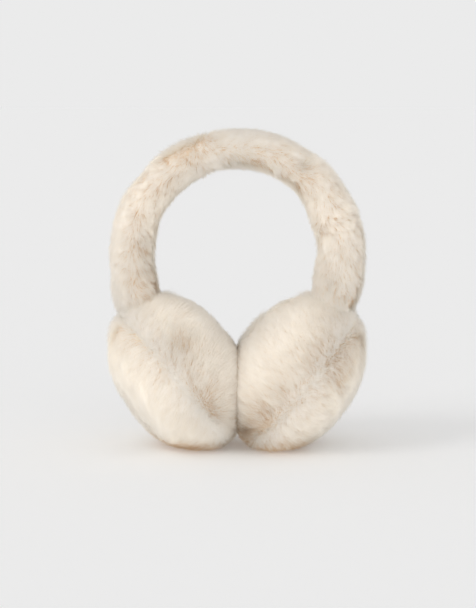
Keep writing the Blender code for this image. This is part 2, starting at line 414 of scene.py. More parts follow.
def sleeve_point(along, around, grow=-SLEEVE_RECESS):
    """A point of the sleeve: its middle line plus an oval across it.

    around is 0 away from the head, a quarter turn back at -pi/2 in front, and pi at the head.
    """
    tangent = unit(along_line(LINE_TANGENT, along))
    away = np.stack([-tangent[..., 2], np.zeros_like(along), tangent[..., 0]], axis=-1)
    thick, deep = eased_section(along)
    shape = (
        away * (np.cos(around) * (thick / 2 + grow))[..., None]
        + BACKWARDS * (np.sin(around) * (deep / 2 + grow))[..., None]
    )
    point = along_line(LINE, along) + shape
    lump = waves(point.reshape(-1, 3), LUMP_SIZE, LUMP_SEED)[:, 0].reshape(along.shape)
    height = lump * LUMP_HEIGHT - fold_depth(along, around)
    return point + unit(shape) * height[..., None]


sleeve_top = sleeve_point(np.array(0.5), np.array(0.0))
print("top of the sleeve's backing, mm:", np.round(sleeve_top / MM, 1))

# %% [markdown]
# ## From a function to a closed mesh
#
# The backing of each piece of fur is a grid of points of its surface function. The grid closes on
# itself one way round. At each end the other way it closes to one point, a pole.


# %% Make a closed mesh from a grid
def closed_grid(name, points, first_pole, last_pole):
    """A mesh of rows of points: each row is a ring, and a fan joins the end rows to the poles."""
    rows, ring = points.shape[:2]
    index = np.arange(rows * ring).reshape(rows, ring)
    a, b = index[:-1], index[1:]
    quads = np.stack([a, np.roll(a, -1, 1), np.roll(b, -1, 1), b], axis=-1).reshape(-1, 4)
    first, last = rows * ring, rows * ring + 1
    cap = [np.stack([np.roll(index[0], -1), index[0], np.full(ring, first)], axis=-1)]
    cap += [np.stack([index[-1], np.roll(index[-1], -1), np.full(ring, last)], axis=-1)]
    verts = np.concatenate([points.reshape(-1, 3), [first_pole], [last_pole]])
    mesh = bpy.data.meshes.new(name)
    mesh.from_pydata(verts.tolist(), [], quads.tolist() + np.concatenate(cap).tolist())
    mesh.validate()
    mesh.shade_smooth()
    return mesh


def add_object(name, data):
    """A new object at the origin, linked to the scene, with this mesh, lamp or camera."""
    made = bpy.data.objects.new(name, data)
    bpy.context.scene.collection.objects.link(made)
    return made


def add_piece(name, mesh, material):
    """An object with this mesh, which rides with the one CAD body."""
    made = add_object(name, mesh)
    mesh.materials.append(material)
    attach(made, ROOT)
    return made


print("every new piece rides with", ROOT)

# %% [markdown]
# ## What faux fur is made of
#
# Faux fur is a knitted backing with a pile of fine modacrylic or polyester fibres, here in cream.
# The fibres are dull and each lets light through, so light scatters many times among them, and the
# gaps between tufts look warm and not black. A fibre is tan at its root and nearly white from a
# third of its length on; the tan is partly the fibre's own colour and partly painted shade of the
# deep pile. The shader mixes a rough surface with one that passes light to its other side. Each
# fibre carries a UV map of its own. Across, it holds the fibre's tone, which sets how light it is:
# it differs at random, and places lower it as painted shade and raise it as painted light. Up, it
# holds how far along the fibre a point is, less its warmth: a warm fibre shows its root's colour
# further out. Warmth strays a little at random, and is painted shade in the gaps between tufts, in
# dents and folds and where the fur is pressed; below 0 it is painted light that pales the fibre, as
# at the parting and the crown.


# %% Colours and shader helpers
def linear(hex_colour):
    """An sRGB hex colour as linear red, green, blue and alpha."""
    parts = [int(hex_colour[i : i + 2], 16) / 255 for i in (0, 2, 4)]
    return [c / 12.92 if c <= 0.04045 else ((c + 0.055) / 1.055) ** 2.4 for c in parts] + [1.0]


def add_node(tree, kind, settings=None, **sockets):
    """A node of this kind, with its settings, and each input linked or given a value.

    An input is named by its own name with _ for a space, or by _ and its number.
    """
    node = tree.nodes.new(kind)
    for key, value in (settings or {}).items():
        setattr(node, key, value)
    for key, value in sockets.items():
        socket = node.inputs[int(key[1:]) if key[1:].isdigit() else key.replace("_", " ")]
        if isinstance(value, bpy.types.NodeSocket):
            tree.links.new(value, socket)
        else:
            socket.default_value = value
    return node


def new_material(name):
    """An empty material and its node tree."""
    made = bpy.data.materials.new(name)
    made.use_nodes = True
    made.node_tree.nodes.clear()
    return made, made.node_tree


def ramp(tree, position, stops):
    """A colour ramp read at position, with a colour at each stop."""
    node = add_node(tree, "ShaderNodeValToRGB", Fac=position)
    elements = node.color_ramp.elements
    elements[0].position, elements[0].color = stops[0][0], linear(stops[0][1])
    elements[1].position, elements[1].color = stops[-1][0], linear(stops[-1][1])
    for place, colour in stops[1:-1]:
        elements.new(place).color = linear(colour)
    return node.outputs["Color"]


print("the grey BCBCBC in linear light:", round(linear("BCBCBC")[0], 2))

# %% The fibres and the backing
# The root's tan is partly the fibre's own colour and partly painted shade of the deep pile, whose
# own shadows are switched off.
ROOT_AND_SHADE_COLOUR = "E6C89E"
MIDDLE_COLOUR = "FAF6EE"
TIP_COLOUR = "FDFBF8"
BACKING_COLOUR = "F8EFDE"
MIDDLE_AT = 0.3
DARKEST_TONE = 0.75
FIBRE_ROUGHNESS = 0.8
FIBRE_GLOSS = 0.2
LIGHT_THROUGH = 0.55
MOTTLE_SIZE = 4.0 * MM
MOTTLE_RANGE = (0.3, 0.55)
KNIT_SIZE = 1.0 * MM
KNIT_DEPTH = 0.5 * MM
KNIT_STRENGTH = 0.4
KNIT_ROUGHNESS = 0.95
KNIT_GLOSS = 0.1


def modacrylic_fibre():
    """Dull cream fibres that pass some of their light on."""
    made, tree = new_material("modacrylic_fibre")
    uv = add_node(tree, "ShaderNodeUVMap", {"uv_map": "fibre"}).outputs["UV"]
    split = add_node(tree, "ShaderNodeSeparateXYZ", Vector=uv).outputs
    stops = [(0.0, ROOT_AND_SHADE_COLOUR), (MIDDLE_AT, MIDDLE_COLOUR), (1.0, TIP_COLOUR)]
    pile = ramp(tree, split["Y"], stops)
    tone = add_node(tree, "ShaderNodeMapRange", Value=split["X"], To_Min=DARKEST_TONE, To_Max=1.0)
    toned = add_node(tree, "ShaderNodeHueSaturation", Value=tone.outputs["Result"], Color=pile)
    colour = toned.outputs["Color"]
    surface = add_node(
        tree,
        "ShaderNodeBsdfPrincipled",
        Base_Color=colour,
        Roughness=FIBRE_ROUGHNESS,
        Specular_IOR_Level=FIBRE_GLOSS,
    )
    through = add_node(tree, "ShaderNodeBsdfTranslucent", Color=colour)
    both = add_node(
        tree,
        "ShaderNodeMixShader",
        _0=LIGHT_THROUGH,
        _1=surface.outputs[0],
        _2=through.outputs[0],
    )
    add_node(tree, "ShaderNodeOutputMaterial", Surface=both.outputs[0])
    return made


def knitted_backing():
    """The backing under the pile: warm cream, mottled where the fibres are rooted."""
    made, tree = new_material("knitted_backing")
    place = add_node(tree, "ShaderNodeTexCoord").outputs["Object"]
    mottle = add_node(tree, "ShaderNodeTexNoise", Vector=place, Scale=1 / MOTTLE_SIZE, Detail=4.0)
    stops = [(MOTTLE_RANGE[0], ROOT_AND_SHADE_COLOUR), (MOTTLE_RANGE[1], BACKING_COLOUR)]
    colour = ramp(tree, mottle.outputs["Fac"], stops)
    knit = add_node(tree, "ShaderNodeTexNoise", Vector=place, Scale=1 / KNIT_SIZE, Detail=2.0)
    bump = add_node(
        tree,
        "ShaderNodeBump",
        Strength=KNIT_STRENGTH,
        Distance=KNIT_DEPTH,
        Height=knit.outputs["Fac"],
    )
    surface = add_node(
        tree,
        "ShaderNodeBsdfPrincipled",
        Base_Color=colour,
        Roughness=KNIT_ROUGHNESS,
        Specular_IOR_Level=KNIT_GLOSS,
        Normal=bump.outputs["Normal"],
    )
    add_node(tree, "ShaderNodeOutputMaterial", Surface=surface.outputs[0])
    return made


FIBRE = modacrylic_fibre()
BACKING = knitted_backing()
print("materials:", FIBRE.name, BACKING.name)

# %% [markdown]
# ## The backings
#
# Each cover of a pad is a closed, padded form: a dome from its pole to the seam, then a flat disc
# that closes it. It could be sewn and inflated by a cloth simulation, but a turned form whose
# profile is known gives the same ball, and it presses flat exactly where the CAD model does.

# %% Make the pads' backings
DOME_ROWS = 26
DISC_ROWS = 3
AROUND_COUNT = 64
OFF_SEAM = 1e-4


def pad_backing(side, outer):
    """Rings of a cover from its pole to the seam, then rings of the disc that closes it."""
    around = np.linspace(*FULL_TURN, AROUND_COUNT, endpoint=False)
    pole, seam = (0.0, SEAM_POLAR - OFF_SEAM) if outer else (math.pi, SEAM_POLAR + OFF_SEAM)
    angles = np.linspace(pole, seam, DOME_ROWS + 1)[1:]
    polar, turn = np.meshgrid(angles, around, indexing="ij")
    dome = pad_point(polar, turn, side)
    shares = np.linspace(1, 0, DISC_ROWS + 1)[1:-1, None, None]
    disc = PAD_CENTRE + (dome[-1] - PAD_CENTRE) * shares
    clear = PAD_AXES[side][2] * (GAP / 2 if outer else -GAP / 2)
    top = pad_point(np.array(pole), np.array(0.0), side)
    points = press(np.concatenate([dome, disc]) + clear)
    ends = press(np.stack([top, PAD_CENTRE]) + clear)
    return points, ends


def face_outwards(mesh):
    """Turns a closed mesh's faces if they enclose a negative volume, and returns its size."""
    co = np.empty(len(mesh.vertices) * 3, np.float32)
    mesh.vertices.foreach_get("co", co)
    mesh.calc_loop_triangles()
    tri = np.empty(len(mesh.loop_triangles) * 3, np.int32)
    mesh.loop_triangles.foreach_get("vertices", tri)
    a, b, c = (co.reshape(-1, 3)[tri.reshape(-1, 3)[:, k]] for k in range(3))
    volume = (a * np.cross(b, c)).sum() / 6
    if volume < 0:
        mesh.flip_normals()
    return abs(volume)


SIDES = {-1: "left", 1: "right"}
COVERS = {"outer": True, "inner": False}
for side, side_name in SIDES.items():
    for cover, outer in COVERS.items():
        points, ends = pad_backing(side, outer)
        if side < 0:
            points, ends = points * MIRROR, ends * MIRROR
        mesh = closed_grid(f"{side_name}_pad_{cover}_backing", points, *ends)
        volume = face_outwards(mesh)
        made = add_piece(mesh.name, mesh, BACKING)
        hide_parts(f"{side_name}_pad_{cover}_cover")
        print(made.name, "holds", round(volume / MM**3 / 1000), "ml")

# %% [markdown]
# The sleeve's backing is its surface function on a grid, closed by a pole inside each pad's seat.

# %% Make the sleeve's backing
SLEEVE_ROWS = 130
SLEEVE_RING = 32
SLEEVE_START = 0.026

along = np.linspace(SLEEVE_START, 1 - SLEEVE_START, SLEEVE_ROWS)
around = np.linspace(*FULL_TURN, SLEEVE_RING, endpoint=False)
points = sleeve_point(*np.meshgrid(along, around, indexing="ij"))
ends = points[0].mean(axis=0), points[-1].mean(axis=0)
mesh = closed_grid("band_sleeve_backing", points, *ends)
face_outwards(mesh)
made = add_piece("band_sleeve_backing", mesh, BACKING)
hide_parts("band_sleeve")
print(made.name, "has", len(mesh.polygons), "faces")

# %% [markdown]
# ## Where the fibres stand
#
# A fibre's root is a random place on the backing. Picking the two parameters at random would crowd
# the poles, so cells of a grid are picked with a chance that follows their area, and a root is a
# random place in its cell. The surface function then gives the exact point, and a small step in
# each parameter gives the two directions whose cross product is the normal. The normals are those
# of the fur's own outer form, which runs on over the seam without a ridge.


# %% Scatter roots over a surface function
GRID_POINTS = (161, 193)


def scatter(surface, u_range, v_range, count, rng, density):
    """(u, v, point) of count roots, spread by area times the density at each cell."""
    u = np.linspace(*u_range, GRID_POINTS[0])
    v = np.linspace(*v_range, GRID_POINTS[1])
    grid = surface(*np.meshgrid(u, v, indexing="ij"))
    across = grid[1:, 1:] - grid[:-1, :-1]
    other = grid[1:, :-1] - grid[:-1, 1:]
    middle = (grid[1:, 1:] + grid[:-1, :-1]) / 2
    area = np.linalg.norm(np.cross(across, other), axis=-1) / 2
    chance = (area * density(middle)).ravel()
    cell = rng.choice(chance.size, size=count, p=chance / chance.sum())
    row, column = np.divmod(cell, len(v) - 1)
    pu = u[row] + (u[1] - u[0]) * rng.random(count)
    pv = v[column] + (v[1] - v[0]) * rng.random(count)
    return pu, pv, surface(pu, pv)


def normals_of(surface, u, v, middle, step=0.01):
    """The cross product of a small step in each parameter, pointing away from the middle."""
    point = surface(u, v)
    normals = unit(np.cross(surface(u + step, v) - point, surface(u, v + step) - point))
    return normals * np.sign(dot(normals, point - middle))


print("cells of the grid:", (GRID_POINTS[0] - 1) * (GRID_POINTS[1] - 1))

# %% [markdown]
# ## How a fibre lies
#
# A fibre leaves its root at an angle to the backing and bends over until its tip lies almost flat,
# and its tip is pulled sideways towards the middle of its tuft. In the gaps between tufts the
# fibres are painted a little darker and warmer, as painted shade for the depth that one sees into
# there. Real fibres are about a twentieth of a millimetre thick. The strips drawn here are a few
# fibres wide, in two lengths: a four-sided face from the root to the bend, and a triangle from the
# bend to the tip. Blender's hair curves could draw them too, but a mesh keeps its own normals.
# Light on plush follows the soft outer form far more than each fibre, so a strip's shading normal
# is mostly that form's normal, with a small share of the same normal made square to the fibre.

# %% Work out the strips of many fibres
BEND = 0.5
ROLL = 0.7
FOLLOW_FIBRE = 0.15
TUFT_REACH = 0.4
TUFT_EDGE = (0.25, 0.75)
TUFT_PULL = 0.35
TUFT_TURN = 0.12
TONE_SPREAD = 0.12
STRAY = 0.15


def gather(lie, normals, roots, length, spacing, seed):
    """Each fibre's own direction, the pull on its tip, its tone, and its place in its tuft.

    The place is 0 at the tuft's middle and 1 in the gap between two tufts.
    """
    rng = np.random.default_rng(seed)
    tip = roots + lie * length * TUFT_REACH
    centre, shared = tuft_centres(tip, spacing, seed)
    pull = along_surface(centre - tip, normals) * TUFT_PULL
    tone = 1 - TONE_SPREAD * (rng.random((len(roots), 1)) + shared[:, 1:2])
    turn = rng.normal(0, STRAY, (len(roots), 1)) + (shared[:, :1] - 0.5) * 2 * TUFT_TURN
    gap = ease(np.linalg.norm(centre - tip, axis=-1, keepdims=True) / spacing, *TUFT_EDGE)
    aside = np.cross(normals, lie)
    return unit(lie * np.cos(turn) + aside * np.sin(turn)), pull, tone, gap


def fibre_strips(roots, normals, lie, pull, length, rise, width, seed, limit):
    """(points, normals, shares) of strips: two points at the root, two at the bend, one tip.

    rise holds the angles off the surface below and above the bend. The middle line is
    root + length * (BEND * first direction, then (1 - BEND) * second direction), plus the pull
    times the share of the length squared. limit keeps points out of the table and the other pad.
    """
    rng = np.random.default_rng(seed)
    roll = rng.uniform(-ROLL, ROLL, (len(roots), 1))
    low, high = (lie * np.cos(a) + normals * np.sin(a) for a in (rise[:, :1], rise[:, 1:]))
    bend = roots + low * length * BEND
    tip = bend + high * length * (1 - BEND) + pull
    bend = bend + pull * BEND**2
    face = unit(along_surface(normals, unit(tip - roots)))
    edge = np.cross(unit(tip - roots), face) * np.cos(roll) + face * np.sin(roll)
    half = edge * width / 2
    points = [roots - half, roots + half, bend - half, bend + half, tip]
    shade = unit(normals * (1 - FOLLOW_FIBRE) + face * FOLLOW_FIBRE)
    shares = np.array([0.0, 0.0, BEND, BEND, 1.0])
    return limit(np.stack(points, 1)), np.repeat(shade[:, None], len(shares), axis=1), shares


STRIP_POINTS = 5
STRIP_CORNERS = np.array([0, 1, 3, 2, 2, 3, 4])
STRIP_STARTS = np.array([0, 4])


def fibre_mesh(name, points, shade, shares, tone, warmth, mirrored):
    """The strips as one mesh, a quad and a triangle each, with the UV map and the normals.

    The UV map holds (tone, share of the length * (1 - warmth)). Below 0, warmth takes as much
    off the way to the tip.
    """
    count = len(points)
    corners = STRIP_CORNERS
    if mirrored:
        points, shade = points * MIRROR, shade * MIRROR
        corners = np.concatenate([corners[:4][::-1], corners[4:][::-1]])
    index = (corners + np.arange(count)[:, None] * STRIP_POINTS).ravel().astype(np.int32)
    pale = np.where(warmth > 0, shares * (1 - warmth), 1 - (1 - shares) * (1 + warmth))
    uv = np.stack([np.repeat(tone, STRIP_POINTS, axis=1), pale], -1).reshape(-1, 2)
    mesh = bpy.data.meshes.new(name)
    mesh.vertices.add(count * STRIP_POINTS)
    mesh.vertices.foreach_set("co", points.astype(np.float32).ravel())
    mesh.loops.add(len(index))
    mesh.loops.foreach_set("vertex_index", index)
    mesh.polygons.add(count * len(STRIP_STARTS))
    starts = (STRIP_STARTS + np.arange(count)[:, None] * len(corners)).ravel()
    mesh.polygons.foreach_set("loop_start", starts.astype(np.int32))
    layer = mesh.uv_layers.new(name="fibre")
    layer.data.foreach_set("uv", uv[index].astype(np.float32).ravel())
    mesh.update(calc_edges=True)
    mesh.shade_smooth()
    mesh.normals_split_custom_set_from_vertices(shade.reshape(-1, 3).astype(np.float32))
    return mesh


print("a strip has", STRIP_POINTS, "points and", len(STRIP_STARTS), "faces")

# %% [markdown]
# ## What a place does to its fibres
#
# Fur isn't the same all over. Beside a seam the fibres stand up, and in a crease they are pressed.
# So for each piece of fur a table lists its special places, and what each adds to the two angles at
# which a fibre rises, to its warmth and to its tone. The warmth and tone that the places add are
# painted shade where they make a fibre warmer and darker, and painted light where they make it
# paler and lighter. How far a fibre belongs to a place is a share, as a rule from 0 to 1, and all
# that the places add is summed. Only folds count by their depth in millimetres, and the patches
# swing both ways.


# %% Add up what the places do
WIDTH_SPREAD = (0.7, 1.2)
WARMTH_STRAY = 0.08
WARMTH_LIMITS = (-0.5, 0.9)


def styled(shares, places, rise, tone, stray):
    """(rise, tone, warmth) of each fibre: its own, plus the sum of share * the place's row."""
    added = sum(share * np.array(places[name]) for name, share in shares.items())
    warmth = np.clip(added[:, 2:3] + stray, *WARMTH_LIMITS)
    return rise + added[:, :2], np.clip(tone + added[:, 3:], 0, 1), warmth


print("warmth is limited to", WARMTH_LIMITS)

# %% [markdown]
# ## The pile on the pads
#
# The pile is sewn in so that it lies away from the seam on both covers, and gravity and handling
# turn it a little. On the inner covers it is also brushed up and backwards over the top, and where
# the two directions cancel in a whorl the fibres stand up and hide the backing. Beside the seam it
# is thick, short and disordered, so the parting shows as a soft line and never as bare cloth; its
# fibres are painted paler and lighter there, as painted light against the shade among them. On one
# stretch of each seam it is matted and stands up, and is painted warmer as painted shade. Tan
# strokes of painted shade run off the seam in the gaps where tufts part. The pile is pressed where
# the pads meet and where they rest, and there and towards the table it is painted darker and warmer
# as painted shade; it has no room under the sleeve's end.
#
# A strip is wider than a real fibre, and so would be its shadow: the fur would look like grey
# straw. The pile's shadow rays are switched off for that reason, and the shade among the fibres is
# painted into their colour instead. The backings under it still cast the object's shadows, on each
# other and on the table.

# %% Where the pads' pile grows
PAD_FIBRES = 52000
POLE_HOLE = 0.02
ARM_STEP = 3

# How far from the seam the pile is thick, how near to the other pad or the table it is nearly
# bare, and the two distances from the sleeve's middle line between which it sets in
THICK = 9.0 * MM
PRESSED_BARE = 1.6 * MM
PRESSED_SHARE = 0.15
UNDER_ARM = (7.0 * MM, 10.0 * MM)


def distance_to_arm(points):
    """The length from each point to the nearest point of the sleeve's middle line, on the right."""
    arm = LINE[LINE[:, 0] > 0][::ARM_STEP]
    best = np.full(points.shape[:-1], np.inf)
    for place in arm:
        best = np.minimum(best, np.linalg.norm(points - place, axis=-1))
    return best


def off_seam(points, side):
    """The distance from the seam's plane: the length along the axis across it."""
    return np.abs((points - PAD_CENTRE) @ PAD_AXES[side][2])


def pad_density(points, side):
    """A small share where pressed, 1 more where free, twice as much at the seam, 0 at the arm."""
    free = ease(np.minimum(points[..., 0], points[..., 2]), 0.0, PRESSED_BARE)
    beside_seam = 1 - ease(off_seam(points, side), 0, THICK)
    clear_of_arm = ease(distance_to_arm(points), *UNDER_ARM)
    return (PRESSED_SHARE + free) * (1 + beside_seam) * clear_of_arm


print("fibres on the pads:", PAD_FIBRES * len(SIDES) * len(COVERS))

# %% [markdown]
# The flow of the pile is a sum of directions: away from the seam, down, the swirls, and a random
# part beside the seam. On the inner covers, up and backwards come on top. The part of the sum along
# the surface is the way in which a fibre lies.

# %% The flow over a pad
FROM_SEAM = 1.1
SAG = 0.22
BRUSHED_UP = 0.35
BRUSHED_BACK = 0.7
PAD_WIDE_SWIRL = (60.0 * MM, 0.28)
PAD_FINE_SWIRL = (22.0 * MM, 0.14)
DISORDER = 0.5
SEAM_DISORDER = 0.8


def pad_flow(roots, normals, side, outer, parting, matted, seed, rng):
    """The directions times their strengths, summed, less the part along the normal."""
    flow = PAD_AXES[side][2] * (1 if outer else -1) * (FROM_SEAM - parting) + DOWN * SAG
    flow = flow + swirls(roots, PAD_WIDE_SWIRL, PAD_FINE_SWIRL, seed)
    flow = flow + rng.normal(0, DISORDER, roots.shape) * (SEAM_DISORDER * parting + matted)
    if not outer:
        flow = flow + PAD_UP * BRUSHED_UP + BACKWARDS * BRUSHED_BACK
    return along_surface(flow, normals)


print("the pile sags by", round(math.degrees(math.atan2(SAG, FROM_SEAM))), "degrees")

# %% [markdown]
# The shares of the places follow from distances: to the seam, the table, the other pad and the
# sleeve. A dent counts by its depth, and the whorl is where the flow is weak. The matted stretch is
# an angle round the pad's axis and a spread. Each fibre stops at a limit of its own at the other
# pad and the table, or all tips would end in one line.

# %% Work out the pads' pile
PAD_PILE = 10.5 * MM
PAD_TUFT = 2.6 * MM
FIBRE_WIDTH = 0.36 * MM
PAD_PILE_SPREAD = 0.14
PAD_RISE = np.array([0.68, 0.12])
PAD_RISE_STRAY = 0.07
SHORTER_AT_SEAM = 0.4
PARTING = 7.0 * MM
MATTED = 10.0 * MM
MATTED_AT = {-1: (2.05, 0.35), 1: (0.95, 0.35)}
# Painted shade in the gaps between tufts beside the seam: its strength on each pad, and the
# distances from the seam over which it fades
SEAM_GAP_SHADE = {-1: 0.28, 1: 0.50}
SEAM_GAP_SHADE_FADE = (8.0 * MM, 32.0 * MM)
BESIDE_ARM = (14.0 * MM, 22.0 * MM)
WHORL_FLOW = (0.05, 0.35)
DEEP_DENT = 0.06
# How far from the other pad and from the table the painted shade of the pressed pile reaches
MIDDLE_SHADE_REACH = 9.0 * MM
TABLE_SHADE_REACH = 24.0 * MM
MIDDLE_LIMIT = (-1.0 * MM, 0.4 * MM)
TABLE_LIMIT = (0.1 * MM, 0.8 * MM)

PAD_PLACES = {
    # rise below and above the bend, warmth, tone
    # painted light: the parting's fibres are painted paler and lighter, against the shade among its
    # standing fibres
    "parting": (0.12, 0.25, -0.40, 0.30),
    # painted shade: matted fibres are painted warmer, for the shade deep among them
    "matted": (0.30, 0.30, 0.25, 0.00),
    "beside_arm": (0.35, 0.35, 0.00, 0.00),
    "whorl": (0.40, 0.40, 0.00, 0.00),
    # painted shade: darker, warmer fibres in the gaps between tufts beside the seam
    "seam_gap_shade": (0.00, 0.00, 1.00, -0.30),
    # painted shade: darker, warmer fibres in the dents, where less light falls
    "dent_shade": (0.00, 0.00, 0.50, -0.35),
    # painted shade: darker, warmer fibres near the other pad and towards the table
    "pressed": (0.00, 0.00, 1.00, -0.60),
}


def pad_pile(side, cover, seed):
    """The strips of one cover's pile, with the tone and warmth of each, as pad_point has it."""
    outer = COVERS[cover]
    reach = (POLE_HOLE if outer else math.pi - POLE_HOLE, SEAM_POLAR)
    rng = np.random.default_rng(seed)

    def surface(u, v):
        """The backing, as the table and the other pad press it."""
        return press(pad_point(u, v, side))

    u, v, roots = scatter(
        surface, reach, FULL_TURN, PAD_FIBRES, rng, lambda points: pad_density(points, side)
    )
    normals = normals_of(lambda a, b: pad_point(a, b, side, grow=0.0), u, v, PAD_CENTRE)
    column = (len(roots), 1)
    from_seam = off_seam(roots, side)[:, None]
    parting = 1 - ease(from_seam, 0.0, PARTING)
    place, spread = MATTED_AT[side]
    matted = np.exp(-(((v[:, None] - place) / spread) ** 2)) * (1 - ease(from_seam, 0.0, MATTED))

    flow = pad_flow(roots, normals, side, outer, parting, matted, seed, rng)
    strength = np.linalg.norm(flow, axis=-1, keepdims=True)
    length = PAD_PILE * rng.normal(1, PAD_PILE_SPREAD, column) * (1 - SHORTER_AT_SEAM * parting)
    rise = PAD_RISE + rng.normal(0, PAD_RISE_STRAY, column)
    width = FIBRE_WIDTH * rng.uniform(*WIDTH_SPREAD, column)
    lie, pull, tone, gap = gather(unit(flow), normals, roots, length, PAD_TUFT, seed)

    at_middle = 1 - ease(roots[:, :1], 0, MIDDLE_SHADE_REACH)
    at_table = 1 - ease(roots[:, 2:], 0, TABLE_SHADE_REACH)
    shares = {
        "parting": parting,
        "matted": matted,
        "beside_arm": 1 - ease(distance_to_arm(roots)[:, None], *BESIDE_ARM),
        "whorl": (1 - ease(strength, *WHORL_FLOW)) * (not outer),
        "seam_gap_shade": SEAM_GAP_SHADE[side] * gap * (1 - ease(from_seam, *SEAM_GAP_SHADE_FADE)),
        "dent_shade": dent_share(pad_direction(u, v), DENTS[side])[:, None] / DEEP_DENT,
        "pressed": np.maximum(at_middle, at_table),
    }
    stray = rng.normal(0, WARMTH_STRAY, column)
    rise, tone, warmth = styled(shares, PAD_PLACES, rise, tone, stray)
    middle = rng.uniform(*MIDDLE_LIMIT, column)
    table = rng.uniform(*TABLE_LIMIT, column)

    def limit(points):
        """Each coordinate, or the fibre's own limit where that is larger."""
        x = np.maximum(points[..., 0], middle)
        z = np.maximum(points[..., 2], table)
        return np.stack([x, points[..., 1], z], axis=-1)

    strips = fibre_strips(roots, normals, lie, pull, length, rise, width, seed, limit)
    return *strips, tone, warmth


print("places on a pad:", ", ".join(PAD_PLACES))

# %% [markdown]
# Each cover's fibres become one mesh. The left pad is worked out as its mirror image, on the right,
# so its points are mirrored last and the corners of its faces are taken the other way round.

# %% Grow the pads' pile
PILE_SEED = 20

seed = PILE_SEED
for side, side_name in SIDES.items():
    for cover in COVERS:
        seed += 1
        name = f"{side_name}_pad_{cover}_pile"
        mesh = fibre_mesh(name, *pad_pile(side, cover, seed), mirrored=side < 0)
        add_piece(name, mesh, FIBRE).visible_shadow = False
        print(name, "has", len(mesh.polygons) // len(STRIP_STARTS), "fibres")

# %% [markdown]
# ## The pile on the sleeve
#
# On the sleeve the pile runs down both arms. Left of the crown it turns from one arm's way to the
# other's: its angle to the tube goes smoothly through half a turn, which leaves no bald spot, as
# two flows that met head-on would. Each arm's pile also parts along the front like the barbs of a
# feather: the fibres lean outwards on one side, and towards the head on the other. The two halves
# are pieces of their own, and at the crown one thins out as the other grows thicker. At the left
# arm's foot the fur fluffs up, so that hardly a notch shows between the arm and the pad.

# %% Where the sleeve's pile grows
SLEEVE_FIBRES = 47000

# A half begins at this share of the length from the far pad, and thins out over this much on both
# sides of the middle. At its own pad it begins between these distances from the pad's middle.
HALF_START = 0.46
OVERLAP = 16.0 * MM
CLEAR_OF_PAD = (40.0 * MM, 46.0 * MM)


def sleeve_density(points, side):
    """1 on this half and 0 on the other, with a soft step between, and 0 inside the pad."""
    from_pad = np.linalg.norm(points * np.array([side, 1, 1]) - PAD_CENTRE, axis=-1)
    own_half = ease(points[..., 0] * side, -OVERLAP, OVERLAP)
    return ease(from_pad, *CLEAR_OF_PAD) * own_half


print("fibres on the sleeve:", SLEEVE_FIBRES * len(SIDES))

# %% [markdown]
# The flow here is the direction along the tube, turned about the normal by an angle. The barbs'
# lean is strongest in front and changes its side there. The swirls are added last.

# %% The flow along the sleeve
SLEEVE_WIDE_SWIRL = (40.0 * MM, 0.30)
SLEEVE_FINE_SWIRL = (16.0 * MM, 0.18)
BARB_LEAN = 0.5
BARB_PARTING = 3

# The flow turns between these shares of the sleeve's length, from the left pad
TURN_REACH = (0.30, 0.52)


def sleeve_flow(roots, normals, along, around, seed):
    """onwards * cos + (onwards x normal) * sin of the angle, plus lean * barb, plus swirls."""
    onwards = unit(along_line(LINE_TANGENT, along))
    angle = math.pi * (1 - ease(along[:, None], *TURN_REACH))
    outside, front = np.cos(around)[:, None], -np.sin(around)[:, None]
    flow = onwards * np.cos(angle) + np.cross(onwards, normals) * np.sin(angle)
    lean = np.clip(outside * BARB_PARTING, -1, 1) * front * BARB_LEAN * np.cos(angle) ** 2
    flow = flow + np.cross(normals, onwards) * lean
    flow = flow + swirls(roots, SLEEVE_WIDE_SWIRL, SLEEVE_FINE_SWIRL, seed)
    return unit(along_surface(flow, normals))


print("the flow turns over", round((TURN_REACH[1] - TURN_REACH[0]) * LINE_LENGTH / MM), "mm")

# %% [markdown]
# Both halves share one function. It counts a half's places as shares of the length from the far
# pad: the stretches over which the arm, its foot and the fluffed fur there set in. Places round the
# sleeve are the cosine of the angle from the side away from the head.

# %% Work out the sleeve's pile
SLEEVE_PILE = 7.5 * MM
SLEEVE_TUFT = 4.5 * MM
SLEEVE_PILE_SPREAD = 0.16
SLEEVE_RISE = np.array([0.80, 0.30])
SLEEVE_RISE_STRAY = 0.09
CROWN_REACH = 26.0 * MM
CROWN_SHORTER = 0.12
ARM_REACH = (0.55, 0.70)
HEAD_SIDE = (-0.5, 0.4)
# Painted shade on the arm's side towards the head, which faces away from the key light: on the left
# arm only
HEAD_SIDE_SHADE = {-1: 0.20, 1: 0.0}
FOOT_REACH = (0.86, 0.94)
FLUFF_REACH = (0.88, 0.93)
FLUFF_SIDE = (0.0, 0.8)
FLUFF = {-1: 1.0, 1: 0.0}
FLUFF_LONGER = 0.3
# Size and seed of soft random patches of painted shade on the sleeve
PATCHY_SHADE_SIZE = 14.0 * MM
PATCHY_SHADE_SEED = 9

SLEEVE_PLACES = {
    # rise below and above the bend, warmth, tone
    # painted light: fibres at the crown are painted paler and lighter, against the shade under the
    # arch
    "crown": (0.15, 0.15, -0.25, 0.25),
    "fluff": (0.20, 0.20, 0.00, 0.00),
    # painted shade: darker, warmer fibres in the gaps between tufts
    "tuft_gap_shade": (0.00, 0.00, 0.20, -0.05),
    # painted shade and painted light: soft random patches warmer and paler, for the shade of soft
    # lumps in the pile
    "patchy_shade": (0.00, 0.00, 0.06, 0.00),
    # painted shade: the left arm's side towards the head is painted warmer, more so at its foot
    "head_side_shade": (0.00, 0.00, 1.00, 0.00),
    # painted shade: darker, warmer fibres in the folds, by their depth in millimetres
    "fold_shade": (0.00, 0.00, 0.22, -0.20),
    # painted light: fibres at the arm's foot are painted lighter, against the shade of the pad
    # beside it
    "foot": (0.00, 0.00, 0.00, 0.10),
}


